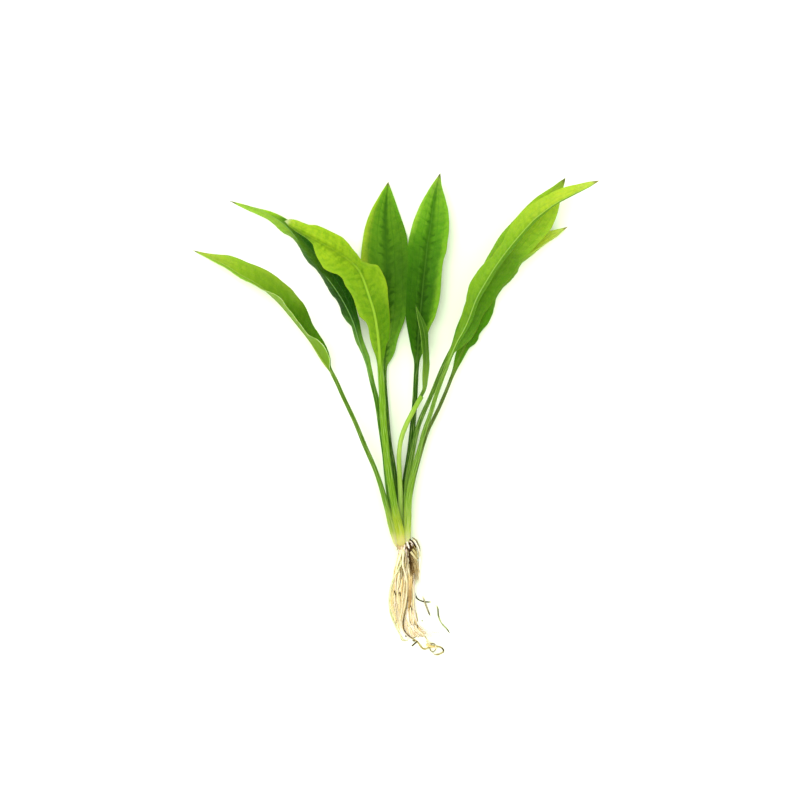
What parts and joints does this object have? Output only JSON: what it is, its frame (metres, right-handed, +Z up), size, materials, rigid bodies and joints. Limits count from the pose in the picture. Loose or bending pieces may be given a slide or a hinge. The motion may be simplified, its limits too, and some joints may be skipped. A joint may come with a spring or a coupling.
{
  "type": "bare-root amazon sword plant",
  "caption": "Bare-root water plant lying flat: a fan of long lance-shaped leaves on slender stalks, a short crown and a tuft of roots.",
  "frame": {"origin": "centre of the base of the whole plant's bounding box, on the surface it lies on", "axes": "+Y from the roots to the leaf tips, +X to the plant's right seen from above with the leaf tips away, +Z up from the surface"},
  "size_m": [0.2074, 0.2496, 0.0306],
  "materials": {
    "leaf_green": "fresh wet leaf, semi-gloss, thin and a little translucent",
    "stalk_lime": "fresh wet leaf stalk, semi-gloss",
    "crown_brown": "knotted brown stem with fibres, matt",
    "root_cream": "wet cream roots, soft sheen",
    "root_brown": "old brown roots, soft sheen"
  },
  "bodies": {
    "root": {"leaf_far_left": "leaf_green", "leaf_left_back": "leaf_green", "leaf_left_front": "leaf_green", "leaf_middle_left": "leaf_green", "leaf_middle_right": "leaf_green", "leaf_young": "leaf_green", "leaf_right_front": "leaf_green", "leaf_right_middle": "leaf_green", "leaf_right_back": "leaf_green", "cut_stalk": "stalk_lime", "crown": "crown_brown", "root_outer_left": "root_cream", "root_left_tan": "root_cream", "root_left_pale": "root_cream", "root_left_cream": "root_cream", "root_centre_pale": "root_cream", "root_centre_cream": "root_cream", "root_centre_long": "root_cream", "root_centre_ivory": "root_cream", "root_brown_loop": "root_brown", "root_right_pale": "root_cream", "root_right_cream": "root_cream", "root_pink": "root_cream", "root_amber_ring": "root_cream", "root_wire": "root_brown", "root_right_arch": "root_cream", "root_olive": "root_brown", "root_faint": "root_cream", "root_centre_back": "root_cream", "root_short": "root_cream"}
  },
  "joints": []
}
